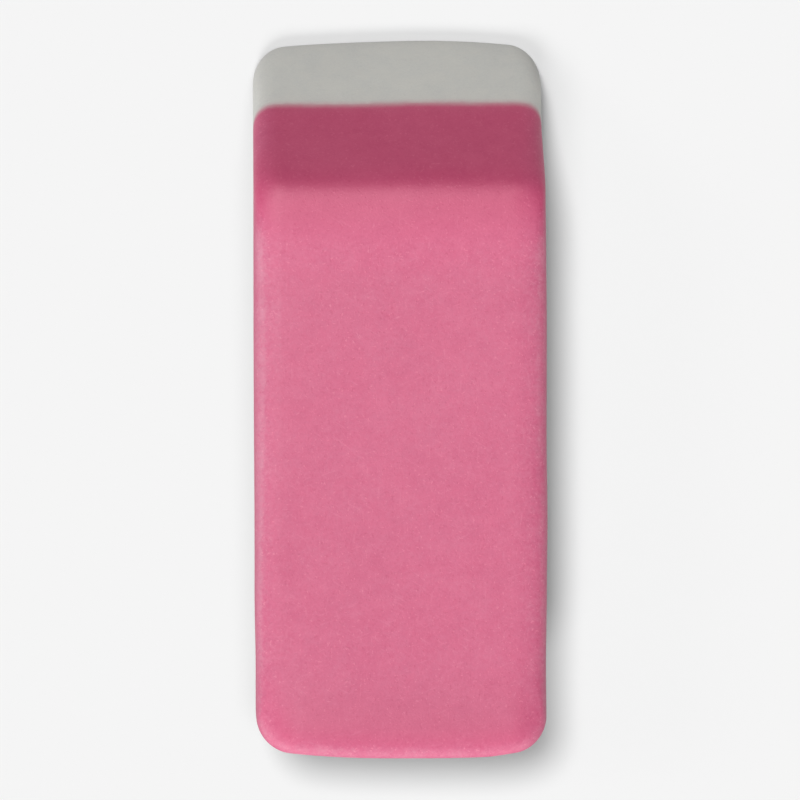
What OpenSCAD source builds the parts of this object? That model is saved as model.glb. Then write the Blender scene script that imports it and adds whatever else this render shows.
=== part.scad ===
// Bevelled block eraser: two rubber compounds bonded face to face.
//
// Seen from the side the block is a parallelogram. Both ends slope the same way, so
// each broad face meets one end at a sharp tip and the other end at a blunt heel.
// Turned over about a line across its width, the block has the same outline again.
// X runs across the width, Y along the length towards the tip that lies on the
// ground, and Z up from the ground.

/* [Block] */
// Width across the block
block_w = 22; // [14:0.5:40]
// Length of one broad face, measured to where its ends would meet it unrounded
face_l = 45; // [30:0.5:90]
// How far each end leans along the length from one broad face to the other
lean = 14; // [6:0.5:20]

/* [Layers] */
// Thickness of the pink rubber on top
pink_t = 5.65; // [4:0.05:10]
// Thickness of the white rubber underneath
white_t = 6.35; // [4:0.05:10]

/* [Rounding] */
// Radius of the edge at each tip, seen from the side
tip_r = 1.3; // [0.6:0.1:2]
// Radius of the two corners of each tip, seen from above
tip_corner_r = 2.4; // [2:0.1:4]
// How far the corners of a tip stand back from its middle, so that its edge is crowned
tip_crown = 0.4; // [0:0.05:0.8]
// Radius of the edge at each heel, seen from the side
heel_r = 4.5; // [2.5:0.1:6]
// Radius along the long sides and the sides of each sloping end
side_r = 1.4; // [0.6:0.1:2]
// Length of sloping edge over which a tip corner narrows to the side radius and its crown fades
tip_fade = 7; // [4:0.25:8]

/* [Colours] */
// Colour of the rubber on top
pink_colour = "#D97692"; // ["#D97692", "#E08A9B", "#6FA8D6"]
// Colour of the rubber underneath
white_colour = "#DEDED8"; // ["#DEDED8", "#F4F2EC", "#B9BCC2"]

/* [Hidden] */

// Facets on a full turn of every rounding
round_fn = 40;
// Rings that carry a tip corner's fade
fade_steps = 4;
// Balls that carry half of a tip's crowned edge
crown_steps = 4;
// How steeply that edge falls back towards the corner
crown_power = 2.5;
// How far the box that cuts out a layer runs past the block
past = 5;

block_t = pink_t + white_t;
// Angle of a sloping end from the horizontal
slope = atan2(block_t, lean);
// From the middle of the block, where a broad face ends unrounded: its tip and its heel
tip_y = (face_l + lean) / 2;
heel_y = (face_l - lean) / 2;

// Points in the side view are [along Y, up from mid-height].
// Centre of the round that touches the lower face and the sloping end at the tip
tip_centre = [tip_y - tip_r / tan(slope / 2), tip_r - block_t / 2];
// Centre of the round that touches the upper face and the sloping end at the heel
heel_centre = [heel_y - heel_r * tan(slope / 2), block_t / 2 - heel_r];
// Directions up the sloping end and square into it
up_slope = [-cos(slope), sin(slope)];
into_slope = [-sin(slope), -cos(slope)];

// How far the edge of a tip stands back at the fraction f of the way from its middle to its corner
function crown(f) = tip_crown * pow(f, crown_power);

// Values of the fade at the fraction f of the way up, which is 0 at the tip
function fade_corner_r(f) = side_r + (tip_corner_r - side_r) * pow(1 - f, 2);
function fade_setback(f) = tip_crown * pow(1 - f, 2);
function fade_edge_r(f) = tip_r + (side_r - tip_r) * f;
function fade_centre(f) =
    tip_centre + f * tip_fade * up_slope + (fade_edge_r(f) - tip_r) * into_slope;

// Round-edged disc about the Z axis: r is its outer radius, edge_r that of its rim
module disc(r, edge_r) {
    rotate_extrude($fn = round_fn)
        intersection() {
            translate([r - edge_r, 0])
                circle(r = edge_r, $fn = round_fn);
            translate([0, -edge_r])
                square([r, 2 * edge_r]);
        }
}

// Crowned edge of a tip, from its middle to where its +X corner begins
module tip_edge() {
    for (step = [0:crown_steps - 1]) {
        f = step / crown_steps;
        translate([f * (block_w / 2 - tip_corner_r), tip_centre[0] - crown(f), tip_centre[1]])
            disc(tip_r, tip_r);
    }
}

// Tip corner on the +X side, with the fade of its radius up the sloping end
module tip_corner() {
    for (step = [0:fade_steps]) {
        f = step / fade_steps;
        corner_r = fade_corner_r(f);
        edge_r = fade_edge_r(f);
        middle_y = fade_centre(f)[0] - (corner_r - edge_r) - fade_setback(f);
        translate([block_w / 2 - corner_r, middle_y, fade_centre(f)[1]])
            disc(corner_r, edge_r);
    }
}

// Heel corner on the +X side
module heel_corner() {
    translate([block_w / 2 - side_r, heel_centre[0], heel_centre[1]])
        rotate([0, 90, 0])
            disc(heel_r, side_r);
}

// The whole rounded block, standing on the ground
module block() {
    translate([0, 0, block_t / 2])
        hull()
            for (turn = [0, 180], side = [0, 1])
                rotate([turn, 0, 0])
                    mirror([side, 0, 0]) {
                        tip_edge();
                        tip_corner();
                        heel_corner();
                    }
}

// The part of the block between two heights
module layer(from_z, to_z) {
    cut_w = block_w + 2 * past;
    cut_l = face_l + lean + 2 * past;
    intersection() {
        block();
        translate([-cut_w / 2, -cut_l / 2, from_z])
            cube([cut_w, cut_l, to_z - from_z]);
    }
}

module pink_layer() {
    color(pink_colour)
        layer(white_t, block_t + past);
}

module white_layer() {
    color(white_colour)
        layer(-past, white_t);
}

pink_layer();
white_layer();
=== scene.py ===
"""Looks of a bevelled block eraser: pink rubber bonded on top of white, tumbled until its edges are soft.

The two CAD layers are replaced by finely meshed ones of the same size. Lengths below are in millimetres
until a mesh is written, which is in metres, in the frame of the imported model.
"""

import bpy
import numpy as np
from mathutils import Matrix, Vector


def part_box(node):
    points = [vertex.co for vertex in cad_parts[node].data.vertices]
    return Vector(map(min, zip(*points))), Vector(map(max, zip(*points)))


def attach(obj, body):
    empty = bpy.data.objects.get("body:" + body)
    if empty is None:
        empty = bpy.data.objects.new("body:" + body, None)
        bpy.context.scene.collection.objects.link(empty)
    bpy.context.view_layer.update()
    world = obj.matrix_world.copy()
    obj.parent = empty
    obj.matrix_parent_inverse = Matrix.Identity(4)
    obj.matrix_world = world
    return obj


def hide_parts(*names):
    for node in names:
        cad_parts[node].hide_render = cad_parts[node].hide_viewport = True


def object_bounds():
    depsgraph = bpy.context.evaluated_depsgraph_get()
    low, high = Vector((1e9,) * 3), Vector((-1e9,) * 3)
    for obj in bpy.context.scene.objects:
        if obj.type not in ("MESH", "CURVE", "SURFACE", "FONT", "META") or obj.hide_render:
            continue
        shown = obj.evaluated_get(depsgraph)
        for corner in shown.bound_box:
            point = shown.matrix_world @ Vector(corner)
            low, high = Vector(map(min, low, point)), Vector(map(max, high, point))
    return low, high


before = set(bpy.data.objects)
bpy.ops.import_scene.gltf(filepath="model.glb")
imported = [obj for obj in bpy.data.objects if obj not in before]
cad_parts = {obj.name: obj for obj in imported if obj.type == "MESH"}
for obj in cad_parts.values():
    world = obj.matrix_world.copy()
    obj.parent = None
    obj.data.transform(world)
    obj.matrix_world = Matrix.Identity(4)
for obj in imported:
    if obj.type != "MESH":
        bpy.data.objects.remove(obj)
cad_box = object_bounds()

MM = 0.001

# ---------------------------------------------------------------------------
# Sizes of the block
# ---------------------------------------------------------------------------

LOW, HIGH = (np.array(corner) / MM for corner in cad_box)
WIDTH = HIGH[0] - LOW[0]
LENGTH = HIGH[1] - LOW[1]
THICKNESS = HIGH[2] - LOW[2]
SEAM_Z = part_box("white_layer")[1].z / MM

LEAN = 14.0  # how far a sloping end runs along the length over the whole thickness
SLOPE = np.arctan2(THICKNESS, LEAN)
SIDE_WEAR = 0.515  # how far tumbling has worn the long edges back
HEEL_WEAR = 0.36
TIP_WEAR = 1.195  # sharp edges wear fastest
LEAST = 0.003  # depth at which a worn edge counts as having reached the broad face
EDGE_DEPTH = 1.6  # depth down to which the rings lie close together for that edge

TIP_CORNER = 2.4  # corners of a tip, seen from above
HEEL_CORNER = 2.0
TIP_FULLNESS, HEEL_FULLNESS = 2.0, 2.5  # powers of the corner curves: 2 is an ellipse and more is squarer
TIP_CROWN = 0.62  # how far the corners of a tip stand back from its middle
CROWN_POWER = 2.5
FADE_FROM, FADE_TO = 1.3, 5.0  # heights between which a tip's corners become heel corners

# SHARP_TIP_Y is where a sloping end would meet the ground unworn, and TIP_LOSS is how much shorter the
# worn tip is. At its furthest point, the sloping face's share in the wear formula and the ground face's
# have the ratio 1 to the cosine of the slope.
GROUND_SHARE = np.cos(SLOPE) / (1 + np.cos(SLOPE))
TIP_LOSS = -TIP_WEAR * (np.log(1 - GROUND_SHARE) + np.cos(SLOPE) * np.log(GROUND_SHARE)) / np.sin(SLOPE)
SHARP_TIP_Y = LENGTH / 2 + TIP_LOSS


def smooth(t):
    """Eases t from 0 to 1 with no slope at either end: 3 t squared less 2 t cubed."""
    t = np.clip(t, 0.0, 1.0)
    return t * t * (3.0 - 2.0 * t)


def rise(value, start, run):
    """smooth of how far value has gone past start, as a share of run."""
    return smooth((value - start) / run)


def worn(depth, wear):
    """How far an edge has been worn back at a depth below one of its faces.

    The two faces' distances d and e keep exp(-d / wear) + exp(-e / wear) = 1, which rounds the edge most
    in its middle and runs out gently on both sides."""
    return -wear * np.log(-np.expm1(-depth / wear))


# ---------------------------------------------------------------------------
# Shape: level sections of the block, one above another
# ---------------------------------------------------------------------------


def half_width(z):
    """Half the width at height z: full, less the wear of the long edges above and below."""
    return WIDTH / 2 - worn(z, SIDE_WEAR) - worn(THICKNESS - z, SIDE_WEAR)


def end_reach(z):
    """Where the end with its tip on the ground lies along Y at height z.

    It is a straight slope, less the wear of the tip below it and of the heel above it."""
    wear = worn(z, TIP_WEAR) + worn(THICKNESS - z, HEEL_WEAR)
    return SHARP_TIP_Y - z / np.tan(SLOPE) - wear / np.sin(SLOPE)


def end_corner(z):
    """Size, fullness and crown of that end's corners at height z, eased from a tip's to a heel's."""
    up = rise(z, FADE_FROM, FADE_TO - FADE_FROM)
    size = TIP_CORNER + (HEEL_CORNER - TIP_CORNER) * up
    power = TIP_FULLNESS + (HEEL_FULLNESS - TIP_FULLNESS) * up
    return size, power, TIP_CROWN * (1.0 - up)


EDGE_STEPS = 16  # points from the middle of an end to its corner
CORNER_STEPS = 18
SIDE_STEPS = 64


def end_points(wide, reach, corner, share):
    """Half of one end's outline, from its middle to where its corner meets the side: its x and its y.

    A straight edge and a corner curve, both set back by the crown times the crown power of x over half the
    width. share runs from 0 to 1 round the corner. Its curve has x and y as powers of the sine and the
    cosine of that share of a right angle."""
    size, power, crown = corner
    turn = share * np.pi / 2
    edge_x = np.arange(EDGE_STEPS)[None] / EDGE_STEPS * (wide - size)
    corner_x = wide - size + size * np.sin(turn) ** (2.0 / power)
    corner_in = size - size * np.cos(turn) ** (2.0 / power)
    x = np.hstack([edge_x, corner_x])
    return x, reach - np.hstack([0 * edge_x, corner_in]) - crown * (x / wide) ** CROWN_POWER


def section(z):
    """Outlines at the heights z, once round from the middle of the +Y end: x and y, with one row a height.

    Half of an outline is the front end's half, the side and the back end's half. The back end is the front
    end of the block turned over. The other half is the mirror image."""
    z = z[:, None]
    wide = half_width(z)
    share = np.arange(CORNER_STEPS + 1)[None] / CORNER_STEPS
    front_x, front_y = end_points(wide, end_reach(z), end_corner(z), share)
    back_x, back_y = end_points(wide, end_reach(THICKNESS - z), end_corner(THICKNESS - z), share)
    back_x, back_y = back_x[:, ::-1], -back_y[:, ::-1]
    along = np.arange(1, SIDE_STEPS)[None] / SIDE_STEPS
    side_y = front_y[:, -1:] + (back_y[:, :1] - front_y[:, -1:]) * along
    x = np.hstack([front_x, wide + 0 * along, back_x])
    y = np.hstack([front_y, side_y, back_y])
    return np.hstack([x, -x[:, -2:0:-1]]), np.hstack([y, y[:, -2:0:-1]])


EDGE_RINGS = 34  # rings in the worn edge of a broad face
WALL_RINGS = 16
FACE_RINGS = 40
BOND_RINGS = 6


def cap(x, y, z, rings):
    """Rings that close an outline, shrinking in even steps towards its middle, and that middle point."""
    share = 1.0 - np.arange(1, rings)[:, None] / rings
    middle_y = (y.max() + y.min()) / 2
    ring_y = middle_y + share * (y[None] - middle_y)
    return np.stack([share * x[None], ring_y, np.full_like(ring_y, z)], axis=-1), (0.0, middle_y, z)


def half_block(face_up):
    """Rings for the part of the block above the bond (face_up) or below it, and the points that close it.

    Depths below the broad face grow by a constant ratio through the worn edge and evenly after it."""
    bond_depth = THICKNESS - SEAM_Z if face_up else SEAM_Z
    edge = np.geomspace(LEAST, EDGE_DEPTH, EDGE_RINGS)
    wall = np.linspace(EDGE_DEPTH, bond_depth, WALL_RINGS + 1)[1:]
    depth = np.concatenate([edge, wall])
    height = (depth - LEAST) * bond_depth / (bond_depth - LEAST)
    z = np.where(face_up, THICKNESS - height, height)
    x, y = section(THICKNESS - depth if face_up else depth)
    walls = np.stack([x, y, z[:, None] + 0 * x], axis=-1)
    face, face_middle = cap(x[0], y[0], z[0], FACE_RINGS)
    bond, bond_middle = cap(x[-1], y[-1], z[-1], BOND_RINGS)
    grid = np.concatenate([face[::-1], walls, bond])
    poles = np.array([face_middle, bond_middle])
    return (grid[::-1], poles[::-1]) if face_up else (grid, poles)


# How far cutting and tumbling have moved the rubber, in millimetres
DISH = 0.2  # the middle of the upper face, down
HEEL_LIP, TIP_LIP = 0.25, 0.49  # its ends, up from there
MINUS_SIDE_FALL, PLUS_SIDE_FALL = 0.19, 0.14  # its sides, down
WAVER = 0.03  # the upper face, the ends and the width, to and fro
BOW = 0.04  # the middle of the block, towards +X
NARROWING = 0.1  # each side at the -Y end, in
SWELLING, TIP_SWELLING = 0.1, 0.27  # the +X side, out: just short of its middle, and beside the low tip
SKEW = 0.1  # each end, out on the +X side and in on the -X side
HEEL_PUSH = 0.24  # the upper part of the +Y end, out
CORNER_PUSH = 0.15  # the +X corner of the -Y end, in


def relief(x, y):
    """Height of the upper face above its plane: dished between two lips, and falling at the sides.

    Each of these is eased in over its own stretch. The tip's lip, at the -Y end, follows the 1.65th power
    of the way up it, and towards the -X corner it turns into a hollow 0.4 times as deep as it is high."""
    heel_lip = HEEL_LIP * rise(y, 8.2, 4.8)
    tip_lip = TIP_LIP * smooth(np.clip((-18.8 - y) / 8.1, 0.0, 1.0) ** 1.65)
    fall = np.where(x < 0, MINUS_SIDE_FALL * rise(-x, 8.9, 2.1), PLUS_SIDE_FALL * rise(x, 8.4, 2.6))
    return heel_lip + tip_lip * (1.0 - 1.4 * rise(-x, 7.2, 3.6)) - DISH - fall


def bell(t):
    """A smooth hump, 1 at t = 0 and near 0 past t = 2: exp of minus t squared."""
    return np.exp(-(t**2))


def uneven(p):
    """Moves points as cutting and tumbling left them.

    Upwards: the relief, and a waver that is the product of a sine across and a sine along the block, both
    times the square of the height. Sideways: the width wavers as a sine and narrows at the -Y end, the
    whole block is bowed, and the +X side swells in two places. Endways: the waver, eased in towards the
    ends, and a skew that grows with the distance from the middle. The upper part of the +Y end is pushed
    out, and the +X corner of the -Y end is pushed in."""
    x, y, z = p[..., 0], p[..., 1], p[..., 2]
    up = z / THICKNESS
    side = x / (WIDTH / 2)
    out = y / (LENGTH / 2)
    waver = WAVER * np.sin(0.5 * x + 0.4) * np.sin(0.27 * y + 1.1 + 0.2 * z)
    wide = WAVER * np.sin(0.21 * y + 0.6) - NARROWING * rise(-y, 15.0, 6.0)
    sideways = wide * side + BOW * bell((y - 6.0) / 9.0) + SWELLING * smooth(side) * bell((y + 9.3) / 4.5)
    sideways = sideways + TIP_SWELLING * smooth(side) * rise(y, 19.6, 5.2)
    endways = waver * smooth(np.abs(out)) + SKEW * np.sin(0.16 * x) * out
    endways = endways + HEEL_PUSH * rise(up, 0.55, 0.4) * rise(y, 6.0, 6.0)
    endways = endways + CORNER_PUSH * rise(x, 6.3, 2.7) * rise(-y, 20.0, 4.0)
    return np.stack([x + sideways, y + endways, z + (relief(x, y) + waver) * up**2], axis=-1)


# ---------------------------------------------------------------------------
# Meshes
# ---------------------------------------------------------------------------

WEAR_AND_SHEEN = "wear"  # point attribute: how worn and powdered a point is, with its painted sheen and highlight
CREASE = 30  # degrees between two faces past which the edge between them shows as sharp
NO_AREA, NO_LENGTH = 1e-12, 1e-6  # added to what is divided by, so that it is never 0


def bend(p):
    """How sharply a grid of rings bends at each point: the radians that its normal turns in a millimetre.

    That is the turn between two neighbours of a point over the way between them. Round the ring and from
    ring to ring are measured apart, and the larger counts."""
    beside = np.roll(p, -1, axis=1) - np.roll(p, 1, axis=1)
    across = np.gradient(p, axis=0)
    normal = np.cross(beside, across)
    normal /= np.linalg.norm(normal, axis=-1, keepdims=True) + NO_AREA
    turn_beside = np.linalg.norm(np.roll(normal, -1, axis=1) - np.roll(normal, 1, axis=1), axis=-1)
    turn_across = np.linalg.norm(np.gradient(normal, axis=0), axis=-1)
    bend_beside = turn_beside / (np.linalg.norm(beside, axis=-1) + NO_LENGTH)
    bend_across = turn_across / (np.linalg.norm(across, axis=-1) + NO_LENGTH)
    return np.maximum(bend_beside, bend_across)


FACE_RUB_AND_SHEEN, EDGE_RUB_AND_HIGHLIGHT, RIM_RUB_AND_HIGHLIGHT = 0.45, 0.55, 0.13  # the most each place adds to wear and painted sheen


def rub_and_sheen(p):
    """How worn and powdered each point of a grid of rings is, from 0 to a little over 1. The same share
    also gives the painted sheen and highlight that pale the colour.

    A broad face has FACE_RUB_AND_SHEEN, powder and a painted sheen, eased to half of it towards its tip and
    to nothing at its heel. A bend adds up to EDGE_RUB_AND_HIGHLIGHT, powder and a painted highlight, by how
    sharp it is: in full beside a broad face, half as much on the walls and the sloping ends, and nothing
    round a heel. It is eased to half of that towards the +X side, which paints shade on that side. The last
    2 mm at the long sides add up to
    RIM_RUB_AND_HIGHLIGHT, a painted highlight with some powder, beside a broad face or on a bend."""
    x, y, off_middle = p[..., 0], p[..., 1], p[..., 2] - THICKNESS / 2
    towards_heel = y * np.sign(off_middle)
    no_heel = 1.0 - rise(towards_heel, 10.5, 4.5)
    # powder on the broad face, and a painted sheen there, less towards its tip
    face = rise(np.abs(off_middle), 4.6, 0.9) * (1.0 - 0.5 * rise(-towards_heel, 20.0, 6.0))
    broad = rise(np.abs(off_middle), 2.6, 1.8)
    # powder and a painted highlight on bends, eased down towards +X as painted shade on that side
    edge = rise(bend(p), 0.06, 0.56) * (1.0 - 0.5 * smooth(x / (WIDTH / 2)))
    # the last 2 mm of the long sides: a painted highlight along the edge, with some powder
    rim_highlight_and_dust = np.where(x < 0, rise(-x, 9.1, 1.1), rise(x, 8.5, 1.2)) * np.maximum(broad, edge)
    return FACE_RUB_AND_SHEEN * face * no_heel + EDGE_RUB_AND_HIGHLIGHT * edge * (0.5 + broad * (no_heel - 0.5)) + RIM_RUB_AND_HIGHLIGHT * rim_highlight_and_dust


def build(name, grid, poles, hidden):
    """One closed mesh from a grid of rings and a point at each end. hidden marks the rings on the bond.

    Each ring is joined to the next by quads, and the first and last rings to their points by triangles."""
    rings, around = grid.shape[:2]
    grid, poles = uneven(grid), uneven(poles)
    # worn and powdered places, with their painted sheen and highlight; the bond rings get none
    wear = np.zeros((rings, around))
    wear[~hidden] = rub_and_sheen(grid[~hidden])
    pole_rub_and_sheen = wear[[0, -1], 0]
    points = np.vstack([grid.reshape(-1, 3), poles]) * MM
    index = np.arange(rings * around).reshape(rings, around)
    after = np.roll(index, -1, axis=1)
    quads = np.stack([index[:-1], index[1:], after[1:], after[:-1]], axis=-1)
    first = np.stack([np.full(around, rings * around), index[0], after[0]], axis=-1)
    last = np.stack([np.full(around, rings * around + 1), after[-1], index[-1]], axis=-1)
    faces = quads.reshape(-1, 4).tolist() + first.tolist() + last.tolist()
    mesh = bpy.data.meshes.new(name)
    mesh.from_pydata(points.tolist(), [], faces)
    mesh.polygons.foreach_set("use_smooth", np.ones(len(faces), bool))
    mesh.set_sharp_from_angle(angle=np.radians(CREASE))
    mesh.attributes.new(WEAR_AND_SHEEN, "FLOAT", "POINT").data.foreach_set("value", np.append(wear, pole_rub_and_sheen))
    mesh.update()
    made = bpy.data.objects.new(name, mesh)
    bpy.context.scene.collection.objects.link(made)
    return made


def rubber_layer(name, face_up):
    """One of the two rubber slabs, closed at the bond by a face of its own."""
    grid, poles = half_block(face_up)
    hidden = np.zeros(len(grid), bool)
    if face_up:
        hidden[:BOND_RINGS - 1] = True
    else:
        hidden[1 - BOND_RINGS:] = True
    return build(name, grid, poles, hidden)


pink = rubber_layer("pink_rubber_body", True)
white = rubber_layer("white_rubber_body", False)

# ---------------------------------------------------------------------------
# Materials
# ---------------------------------------------------------------------------


def node(tree, kind, inputs=(), **settings):
    """A new node with those settings. inputs holds values or other nodes' outputs, by name or number."""
    made = tree.nodes.new(kind)
    for key, value in settings.items():
        setattr(made, key, value)
    for key, value in dict(inputs).items():
        if isinstance(value, bpy.types.NodeSocket):
            tree.links.new(value, made.inputs[key])
        else:
            made.inputs[key].default_value = value
    return made


def calc(tree, operation, *values):
    """The output of a Math node."""
    return node(tree, "ShaderNodeMath", enumerate(values), operation=operation).outputs[0]


def ramp(tree, value, start, end, low=0.0, high=1.0):
    """Eases from low to high as value goes from start to end."""
    inputs = {"Value": value, "From Min": start, "From Max": end, "To Min": low, "To Max": high}
    return node(tree, "ShaderNodeMapRange", inputs, interpolation_type="SMOOTHSTEP").outputs["Result"]


def blend(tree, share, first, second):
    """Colour that goes from first to second as share goes from 0 to 1."""
    mix = node(tree, "ShaderNodeMix", {"Factor": share}, data_type="RGBA")
    for socket, colour in ((mix.inputs[6], first), (mix.inputs[7], second)):
        if isinstance(colour, bpy.types.NodeSocket):
            tree.links.new(colour, socket)
        else:
            socket.default_value = (*colour, 1.0)
    return mix.outputs[2]


def noise(tree, place, scale, detail, roughness=0.5):
    """The value of a Noise texture, 0.5 on average, with scale waves in a millimetre."""
    inputs = {"Vector": place, "Scale": scale, "Detail": detail, "Roughness": roughness}
    return node(tree, "ShaderNodeTexNoise", inputs).outputs["Fac"]


def group(name, inputs, outputs):
    """A new node group with a Position input and the named number inputs and outputs.

    Returns its tree, what it is given and what it puts out."""
    tree = bpy.data.node_groups.new(name, "ShaderNodeTree")
    tree.interface.new_socket(name="Position", in_out="INPUT", socket_type="NodeSocketVector")
    for label, value in inputs.items():
        socket = tree.interface.new_socket(name=label, in_out="INPUT", socket_type="NodeSocketFloat")
        socket.default_value = value
    for label in outputs:
        tree.interface.new_socket(name=label, in_out="OUTPUT", socket_type="NodeSocketFloat")
    return tree, tree.nodes.new("NodeGroupInput").outputs, tree.nodes.new("NodeGroupOutput").inputs


def in_millimetres(tree, position, shift=(0.0, 0.0, 0.0)):
    """Position in millimetres, moved by shift."""
    inputs = {0: position, 1: (1 / MM,) * 3, 2: shift}
    return node(tree, "ShaderNodeVectorMath", inputs, operation="MULTIPLY_ADD").outputs[0]


def streaks(tree, place, turn, length, width):
    """Short strokes of about that length and width, turned that many radians from X.

    They are the peaks of a noise that is stretched along them."""
    inputs = {"Vector": place, "Rotation": (0.0, 0.0, turn), "Scale": (length, width, 2.0 * width)}
    stretched = node(tree, "ShaderNodeMapping", inputs, vector_type="TEXTURE").outputs[0]
    inputs = {"Vector": stretched, "Scale": 0.5, "Detail": 0.0, "Distortion": 0.25}
    return ramp(tree, node(tree, "ShaderNodeTexNoise", inputs).outputs["Fac"], start=0.72, end=0.84)


def rubber_grain():
    """Node group: what cutting, tumbling and the filler leave on the rubber.

    Mottle is a sum of noises of about 0.2, 1 and 5 mm, with 0.5 as its middle. Smudges are a soft noise of
    about 2 mm. Flecks and Specks are the high and the low peaks of two noises of about 0.2 mm. Scuffs are
    strokes in three directions. Flecks, Specks, Scuffs and the two finer noises of Mottle are plainer where
    the rubber is worn: they are multiplied by 0.55 plus Wear, up to 1.1. Relief is the finest noise, raised
    at the flecks and sunk at the specks and scuffs."""
    names = ["Mottle", "Smudges", "Flecks", "Specks", "Scuffs", "Relief"]
    tree, given, result = group("rubber_grain", {"WearAndSheen": 0.0}, names)
    place = in_millimetres(tree, given["Position"])
    elsewhere = in_millimetres(tree, given["Position"], shift=(31.0, 17.0, 23.0))
    fine = noise(tree, place, scale=5.5, detail=2.0, roughness=0.8)
    patches = noise(tree, place, scale=1.0, detail=2.0, roughness=0.7)
    clouds = noise(tree, place, scale=0.2, detail=1.0)
    plain = calc(tree, "MINIMUM", calc(tree, "ADD", given["WearAndSheen"], 0.55), 1.1)
    small = calc(tree, "MULTIPLY_ADD", fine, 1.2, calc(tree, "MULTIPLY_ADD", patches, 0.75, -0.975))
    large = calc(tree, "MULTIPLY_ADD", clouds, 0.45, 0.275)
    mottle = calc(tree, "MULTIPLY_ADD", small, plain, large)
    smudges = ramp(tree, noise(tree, elsewhere, scale=0.6, detail=2.0, roughness=0.6), start=0.35, end=0.65)
    flecks = ramp(tree, noise(tree, elsewhere, scale=4.6, detail=1.0, roughness=0.7), start=0.62, end=0.74)
    specks = ramp(tree, noise(tree, elsewhere, scale=4.0, detail=1.0, roughness=0.7), start=0.37, end=0.27)
    scuffs = streaks(tree, place, turn=0.35, length=0.6, width=0.09)
    for turn in (1.5, 2.6):
        more = streaks(tree, elsewhere, turn, length=0.5, width=0.09)
        scuffs = calc(tree, "MAXIMUM", scuffs, more)
    relief_height = calc(tree, "MULTIPLY_ADD", flecks, 0.5, fine)
    relief_height = calc(tree, "MULTIPLY_ADD", specks, -0.4, relief_height)
    relief_height = calc(tree, "MULTIPLY_ADD", scuffs, -0.2, relief_height)
    for label, value in (("Mottle", mottle), ("Smudges", smudges), ("Relief", relief_height)):
        tree.links.new(value, result[label])
    for label, value in (("Flecks", flecks), ("Specks", specks), ("Scuffs", scuffs)):
        tree.links.new(calc(tree, "MULTIPLY", value, plain), result[label])
    return tree


def dust_and_sheen():
    """Node group: how much powder and fine abrasion lies on the surface, with the painted sheen and
    highlight that go with them: its input mask times two noises of about 1.
    """
    tree, given, result = group("dust_and_sheen", {"WearAndSheen": 0.0}, ["Dust"])
    place = in_millimetres(tree, given["Position"])
    broad = ramp(tree, noise(tree, place, scale=0.45, detail=2.0), start=0.3, end=0.7, low=0.88, high=1.12)
    fine = noise(tree, place, scale=3.0, detail=3.0, roughness=0.65)
    fine = ramp(tree, fine, start=0.25, end=0.75, low=0.75, high=1.25)
    dust_with_sheen = calc(tree, "MULTIPLY", given["WearAndSheen"], calc(tree, "MULTIPLY", broad, fine))
    tree.links.new(dust_with_sheen, result["Dust"])
    return tree


def bond_line():
    """Node group: the share of pink at a height, from 0 well below the bond to 1 well above it.

    0.92 of the change is eased in within Reach of Level, and the other 0.08 within three times Reach. A
    noise lifts and lowers the line by a few hundredths of a millimetre."""
    tree, given, result = group("bond_line", {"Level": 6.0, "Reach": 0.25}, ["Pink"])
    place = in_millimetres(tree, given["Position"])
    height = node(tree, "ShaderNodeSeparateXYZ", {0: place}).outputs["Z"]
    waver = noise(tree, place, scale=0.8, detail=3.0, roughness=0.6)
    waver = calc(tree, "MULTIPLY_ADD", waver, 0.16, -0.08)
    above = calc(tree, "ADD", calc(tree, "SUBTRACT", height, given["Level"]), waver)
    above = calc(tree, "DIVIDE", above, given["Reach"])
    most = ramp(tree, above, start=-1.0, end=1.0, high=0.92)
    rest = ramp(tree, above, start=-3.0, end=3.0, high=0.08)
    tree.links.new(calc(tree, "ADD", most, rest), result["Pink"])
    return tree


GRAIN = rubber_grain()
DUST_AND_SHEEN_GROUP = dust_and_sheen()
BOND = bond_line()
GRAIN_DEPTH = 0.012 * MM
BOND_LEVEL = SEAM_Z + 0.03  # in millimetres, as is BOND_REACH
BOND_REACH = 0.36
RUBBER_SPECULAR = 0.56
ROUGHNESS = 0.47  # of clean rubber in its darkest tone
ROUGHER_PALE, ROUGHER_DUSTY = 0.06, 0.06  # what its palest tone and full dust add to that

# Base colours of each rubber: its darkest and palest tone, the colour and strength of each mark, and the
# colours of thin and thick powder with its strength, which also paint sheen and highlights
PINK = ((0.554, 0.052, 0.152), (0.687, 0.117, 0.229))
PINK_MARKS = {
    "Smudges": ((0.72, 0.12, 0.23), 0.12),
    "Flecks": ((0.93, 0.29, 0.40), 0.28),
    "Specks": ((0.46, 0.01, 0.08), 0.23),
    "Scuffs": ((0.90, 0.30, 0.42), 0.1),
}
# whitish pink powder, which also stands for a painted sheen on the upper face and painted highlights on its
# edges
PINK_DUST_AND_SHEEN = ((0.767, 0.286, 0.54), (0.84, 0.65, 0.76), 0.19)
WHITE = ((0.656, 0.655, 0.630), (0.802, 0.797, 0.742))
WHITE_MARKS = {
    "Smudges": ((0.81, 0.785, 0.72), 0.24),
    "Flecks": ((0.86, 0.86, 0.83), 0.2),
    "Specks": ((0.50, 0.46, 0.44), 0.1),
    "Scuffs": ((0.62, 0.60, 0.58), 0.1),
}
# pale powder on the white rubber, which also stands for painted highlights on its edges
WHITE_DUST_AND_SHEEN = ((0.80, 0.785, 0.76), (0.80, 0.785, 0.76), 0.2)
PINK_MIDDLE, WHITE_MIDDLE = (tuple(np.mean(tones, axis=0).tolist()) for tones in (PINK, WHITE))


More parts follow.
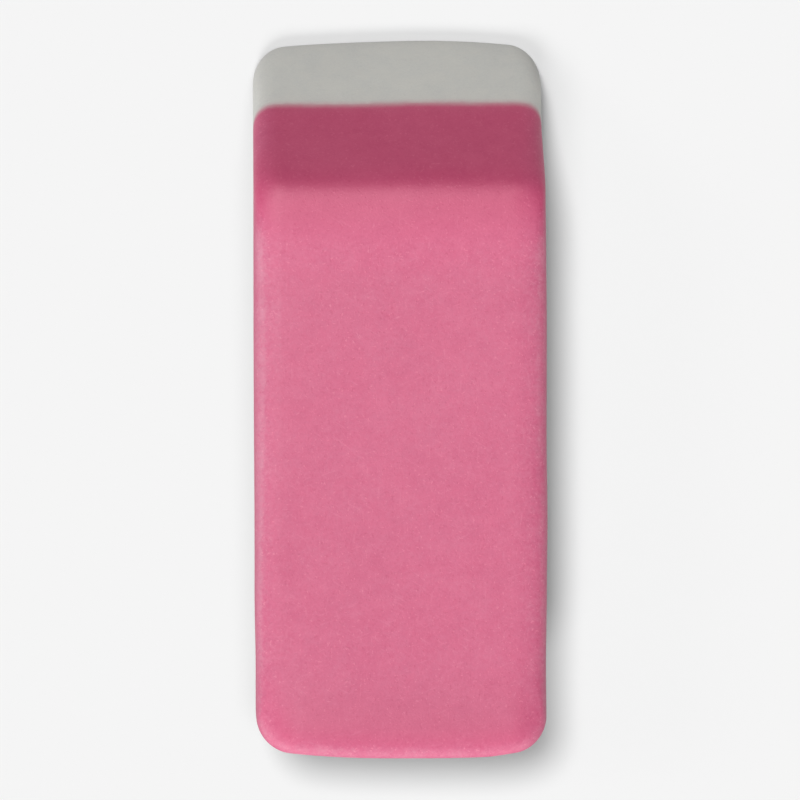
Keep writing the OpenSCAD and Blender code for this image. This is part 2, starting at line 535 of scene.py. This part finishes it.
def rubber(name, tones, marks, dust_with_sheen, above=None, below=None):
    """A tumbled rubber. above or below is the colour of the other rubber, on that side of the bond.

    Its own colour lies between its two tones by the mottle, and gives way to the other rubber's at the
    bond. Each mark in turn, and then the powder with its painted sheen and highlight, covers that by its
    share times its strength."""
    mat = bpy.data.materials.new(name)
    mat.use_nodes = True
    tree = mat.node_tree
    shader = tree.nodes["Principled BSDF"]
    shader.inputs["Specular IOR Level"].default_value = RUBBER_SPECULAR
    place = {"Position": node(tree, "ShaderNodeTexCoord").outputs["Object"]}
    # the wear attribute: worn and powdered places, together with painted sheen and highlights
    wear = {"WearAndSheen": node(tree, "ShaderNodeAttribute", attribute_name=WEAR_AND_SHEEN).outputs["Fac"]}
    bond = {"Level": BOND_LEVEL, "Reach": BOND_REACH}
    grain = node(tree, "ShaderNodeGroup", place | wear, node_tree=GRAIN).outputs
    sheen_and_dust = node(tree, "ShaderNodeGroup", place | wear, node_tree=DUST_AND_SHEEN_GROUP).outputs["Dust"]
    pink_share = node(tree, "ShaderNodeGroup", place | bond, node_tree=BOND).outputs["Pink"]
    own = blend(tree, grain["Mottle"], *tones)
    colour = blend(tree, pink_share, below or own, above or own)
    for mark, (tint, strength) in marks.items():
        colour = blend(tree, calc(tree, "MULTIPLY", grain[mark], strength), colour, tint)
    # powder laid over the colour, which also paints sheen on the upper face and highlights on the edges
    thin, thick, sheen_and_dust_strength = dust_with_sheen
    sheen_and_dust_share = calc(tree, "MULTIPLY", sheen_and_dust, sheen_and_dust_strength)
    colour = blend(tree, sheen_and_dust_share, colour, blend(tree, sheen_and_dust, thin, thick))
    tree.links.new(colour, shader.inputs["Base Color"])
    rough = calc(tree, "MULTIPLY_ADD", grain["Mottle"], ROUGHER_PALE, ROUGHNESS)
    rough = calc(tree, "MULTIPLY_ADD", sheen_and_dust, ROUGHER_DUSTY, rough)
    tree.links.new(rough, shader.inputs["Roughness"])
    height = {"Strength": 1.0, "Distance": GRAIN_DEPTH, "Height": grain["Relief"]}
    bump = node(tree, "ShaderNodeBump", height)
    tree.links.new(bump.outputs["Normal"], shader.inputs["Normal"])
    return mat


pink_finish = rubber("tumbled_pink_rubber", PINK, PINK_MARKS, PINK_DUST_AND_SHEEN, below=WHITE_MIDDLE)
white_finish = rubber("tumbled_white_rubber", WHITE, WHITE_MARKS, WHITE_DUST_AND_SHEEN, above=PINK_MIDDLE)
pink.data.materials.append(pink_finish)
white.data.materials.append(white_finish)

for piece, layer, slot in ((pink, "pink_layer", "pink_rubber"), (white, "white_layer", "white_rubber")):
    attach(piece, "root")
    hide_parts(layer)

# ---------------------------------------------------------------------------
# Studio: floor, light and camera
# ---------------------------------------------------------------------------

FLOOR_REACH = 3.0  # metres from the middle
PAPER_SEEN = (0.91, 0.91, 0.91)  # tone of the floor to the camera and in reflections
PAPER_LIT = (0.35, 0.35, 0.35)  # tone that it gives back to what stands on it
AIR_LIGHT = 0.03  # strength of the light from all round

floor_mesh = bpy.data.meshes.new("studio_floor")
floor_corners = [(x * FLOOR_REACH, y * FLOOR_REACH, 0.0) for x, y in ((-1, -1), (1, -1), (1, 1), (-1, 1))]
floor_mesh.from_pydata(floor_corners, [], [(0, 1, 2, 3)])
floor = bpy.data.objects.new("studio_floor", floor_mesh)
bpy.context.scene.collection.objects.link(floor)
paper = bpy.data.materials.new("studio_paper")
paper.use_nodes = True
paper_shader = paper.node_tree.nodes["Principled BSDF"]
seen = node(paper.node_tree, "ShaderNodeLightPath").outputs
direct = calc(paper.node_tree, "ADD", seen["Is Camera Ray"], seen["Is Glossy Ray"])
direct = calc(paper.node_tree, "ADD", direct, seen["Is Transmission Ray"])
paper_colour = blend(paper.node_tree, direct, PAPER_LIT, PAPER_SEEN)
paper.node_tree.links.new(paper_colour, paper_shader.inputs["Base Color"])
paper_shader.inputs["Roughness"].default_value = 1.0
paper_shader.inputs["Specular IOR Level"].default_value = 0.0
floor_mesh.materials.append(paper)


def lit(name, *things):
    """A collection of the things that a set of lamps is kept to."""
    made = bpy.data.collections.new(name)
    for thing in things:
        made.objects.link(thing)
    return made


def lamp(name, around, up, strength, spread, things):
    """A soft lamp far away that lights nothing but those things.

    At strength 1 it would show a colour as written on a face square to it. It stands at the angle around
    from +X towards +Y and the angle up from the floor, and is spread degrees across. The block is all but
    convex and hardly shades itself, so only the lamps that light the floor cast shadows."""
    data = bpy.data.lights.new(name, "SUN")
    data.energy = strength * np.pi
    data.angle = np.radians(spread)
    data.use_shadow = things is ON_FLOOR
    made = bpy.data.objects.new(name, data)
    made.rotation_euler = (np.radians(90 - up), 0.0, np.radians(around + 90))
    made.light_linking.receiver_collection = things
    bpy.context.scene.collection.objects.link(made)


ON_BLOCK = lit("lit_block", pink, white)
ON_FLOOR = lit("lit_floor", floor)

lamp("key_overhead", around=132, up=73, strength=0.53, spread=16, things=ON_BLOCK)
lamp("top_overhead", around=0, up=90, strength=0.10, spread=16, things=ON_BLOCK)
lamp("fill_near_left", around=225, up=20.5, strength=0.527, spread=24, things=ON_BLOCK)
lamp("fill_near_right", around=298, up=20.5, strength=0.405, spread=24, things=ON_BLOCK)
lamp("fill_left", around=180, up=20.5, strength=0.057, spread=24, things=ON_BLOCK)
lamp("fill_near", around=270, up=20.5, strength=0.131, spread=24, things=ON_BLOCK)

lamp("shadow_key", around=129.5, up=75, strength=0.614, spread=18, things=ON_FLOOR)
lamp("shadow_near_left", around=255, up=51, strength=0.254, spread=16, things=ON_FLOOR)
lamp("shadow_overhead", around=295, up=84.5, strength=0.164, spread=16, things=ON_FLOOR)
lamp("shadow_left", around=174, up=37.5, strength=0.033, spread=17, things=ON_FLOOR)

world = bpy.data.worlds.new("studio_air")
world.use_nodes = True
world.node_tree.nodes["Background"].inputs["Color"].default_value = (1, 1, 1, 1)
world.node_tree.nodes["Background"].inputs["Strength"].default_value = AIR_LIGHT
bpy.context.scene.world = world

# The paper round the block takes light from the lamps only, so that it stays neutral
for piece in (pink, white):
    piece.visible_diffuse = False

CAMERA_PLACE = Vector((-0.011, -0.00048, 0.3))  # metres, as is what it is aimed at
CAMERA_AIM = Vector((-0.00005, -0.00048, 0.011))
CAMERA_ROLL = -0.2  # degrees
CAMERA_SENSOR, CAMERA_LENS = 36.0, 173.9  # millimetres

camera_data = bpy.data.cameras.new("camera")
camera_data.sensor_width = CAMERA_SENSOR
camera_data.lens = CAMERA_LENS
camera = bpy.data.objects.new("camera", camera_data)
back = (CAMERA_PLACE - CAMERA_AIM).normalized()
right = Vector((0.0, 1.0, 0.0)).cross(back).normalized()
axes = Matrix((right, back.cross(right), back)).transposed()
axes = axes @ Matrix.Rotation(np.radians(CAMERA_ROLL), 3, "Z")
camera.matrix_world = Matrix.LocRotScale(CAMERA_PLACE, axes, None)
bpy.context.scene.collection.objects.link(camera)
bpy.context.scene.camera = camera
bpy.context.scene.view_settings.view_transform = "Standard"
